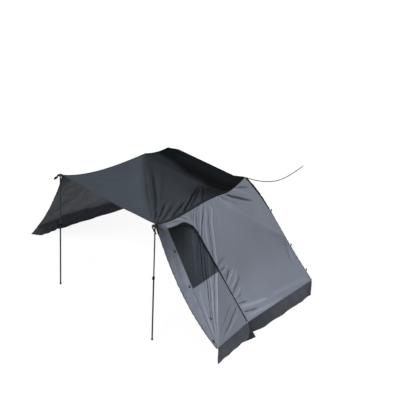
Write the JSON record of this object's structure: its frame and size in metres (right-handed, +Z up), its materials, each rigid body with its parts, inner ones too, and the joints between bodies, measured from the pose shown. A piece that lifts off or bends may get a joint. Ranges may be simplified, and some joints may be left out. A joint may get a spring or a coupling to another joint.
{
  "type": "vehicle rear tent",
  "caption": "Cloth shelter that fastens across the back of a vehicle's roof load, with two telescopic poles, sloping walls, ground skirts, a zipped door with a mesh window and a corner strap.",
  "frame": {"origin": "middle of the outer face of the hem band, the face that lies against the vehicle's roof load, 2.11 m above the ground", "axes": "+Y out of the hem band's face towards the vehicle, +X to the vehicle's right when it is looked at from behind, +Z up; the ground is at z = -2.11 m"},
  "size_m": [5.4637, 3.777, 2.13],
  "materials": {
    "roof_cloth": "dark slate-grey coated polyester, fine plain weave, faint sheen along the folds",
    "black_cloth": "black coated polyester, matt",
    "wall_cloth": "mid-grey coated polyester, fine ripstop weave, soft folds",
    "skirt_cloth": "charcoal coated cloth, slightly heavier, creased where it meets the ground",
    "window_mesh": "dark insect mesh backed by dark cloth",
    "webbing": "black polyester webbing and binding tape",
    "pole_metal": "dark grey anodised tube, satin",
    "steel": "plain nickel-plated steel",
    "plastic": "black moulded nylon, matt",
    "rubber": "black moulded rubber"
  },
  "bodies": {
    "tent": {"attach_panel": "black_cloth", "roof_panel": "roof_cloth", "rear_edge_band": "roof_cloth", "hem_band": "webbing", "roof_piping_right": "black_cloth", "roof_piping_left": "black_cloth", "wall_right_panel": "wall_cloth", "wall_right_rear_strip": "wall_cloth", "skirt_right_front": "skirt_cloth", "zip_tape": "webbing", "rear_binding_right": "webbing", "front_binding_right": "webbing", "peg_loop_right": "webbing", "wall_left_panel": "wall_cloth", "wall_left_rear_strip": "wall_cloth", "skirt_left_rear": "skirt_cloth", "skirt_left_front": "skirt_cloth", "rear_binding_left": "webbing", "front_binding_left": "webbing", "peg_loop_left": "webbing", "inner_strap_left": "webbing", "corner_tab_right": "webbing", "grommet_right": "steel", "corner_tail_right": "webbing", "corner_buckle_right": "plastic", "corner_tab_left": "webbing", "grommet_left": "steel", "corner_tail_left": "webbing", "corner_buckle_left": "plastic", "toggle_loop_1": "webbing", "toggle_loop_2": "webbing", "front_hook_right_1": "plastic", "front_hook_right_2": "plastic", "front_hook_right_3": "plastic", "front_hook_left_1": "plastic", "front_hook_left_2": "plastic", "strap_buckle": "plastic", "strap_cord": "webbing", "strap_hook": "steel"},
    "pole_right_upper": {"pole_right_upper_tube": "pole_metal", "pole_right_spike": "steel"},
    "pole_right_lower": {"pole_right_lower_tube": "pole_metal", "pole_right_shoe": "rubber", "pole_right_collar": "plastic"},
    "lever_right": {"pole_right_lever": "plastic"},
    "pole_left_upper": {"pole_left_upper_tube": "pole_metal", "pole_left_spike": "steel"},
    "pole_left_lower": {"pole_left_lower_tube": "pole_metal", "pole_left_shoe": "rubber", "pole_left_collar": "plastic"},
    "lever_left": {"pole_left_lever": "plastic"},
    "door": {"door_window": "window_mesh", "door_panel": "wall_cloth", "door_skirt": "skirt_cloth", "toggle_loop_3": "webbing"},
    "zip_runner": {"zip_slider": "steel", "zip_pull": "plastic"},
    "toggle_upper": {"toggle_1": "plastic"},
    "toggle_middle": {"toggle_2": "plastic"},
    "toggle_lower": {"toggle_3": "plastic"}
  },
  "joints": [
    {"name": "pole_right_lean", "type": "hinge", "parent": "tent", "child": "pole_right_upper", "pos_m": [1.2, -2.13, -0.0743], "axis": [1, 0, 0], "range_deg": [-8, 8]},
    {"name": "pole_right_telescope", "type": "slide", "parent": "pole_right_upper", "child": "pole_right_lower", "axis": [0, 0, 1], "range_m": [0, 0.75]},
    {"name": "lever_right_open", "type": "hinge", "parent": "pole_right_lower", "child": "lever_right", "pos_m": [1.2, -2.1528, -0.9697], "axis": [-1, 0, 0], "range_deg": [0, 100]},
    {"name": "pole_left_lean", "type": "hinge", "parent": "tent", "child": "pole_left_upper", "pos_m": [-1.2, -2.13, -0.0743], "axis": [1, 0, 0], "range_deg": [-8, 8]},
    {"name": "pole_left_telescope", "type": "slide", "parent": "pole_left_upper", "child": "pole_left_lower", "axis": [0, 0, 1], "range_m": [0, 0.75]},
    {"name": "lever_left_open", "type": "hinge", "parent": "pole_left_lower", "child": "lever_left", "pos_m": [-1.2, -2.1528, -0.9697], "axis": [-1, 0, 0], "range_deg": [0, 100]},
    {"name": "door_swing", "type": "hinge", "parent": "tent", "child": "door", "pos_m": [1.74832, -1.82449, -0.98763], "axis": [0.5694, 0.0504, -0.8205], "range_deg": [0, 75]},
    {"name": "zip_slide", "type": "slide", "parent": "tent", "child": "zip_runner", "axis": [-0.4876, -0.2442, 0.8382], "range_m": [0, 1.4]},
    {"name": "toggle_upper_swing", "type": "hinge", "parent": "tent", "child": "toggle_upper", "pos_m": [1.41566, -1.89949, -0.5064], "axis": [-0.0019, 0.9982, 0.0606], "range_deg": [-80, 0]},
    {"name": "toggle_middle_swing", "type": "hinge", "parent": "tent", "child": "toggle_middle", "pos_m": [1.74944, -1.86491, -0.99881], "axis": [0.1292, 0.9772, 0.1686], "range_deg": [-80, 0]},
    {"name": "toggle_lower_swing", "type": "hinge", "parent": "door", "child": "toggle_lower", "pos_m": [2.07069, -1.68301, -1.48883], "axis": [-0.2443, 0.9665, -0.078], "range_deg": [-80, 0]}
  ]
}
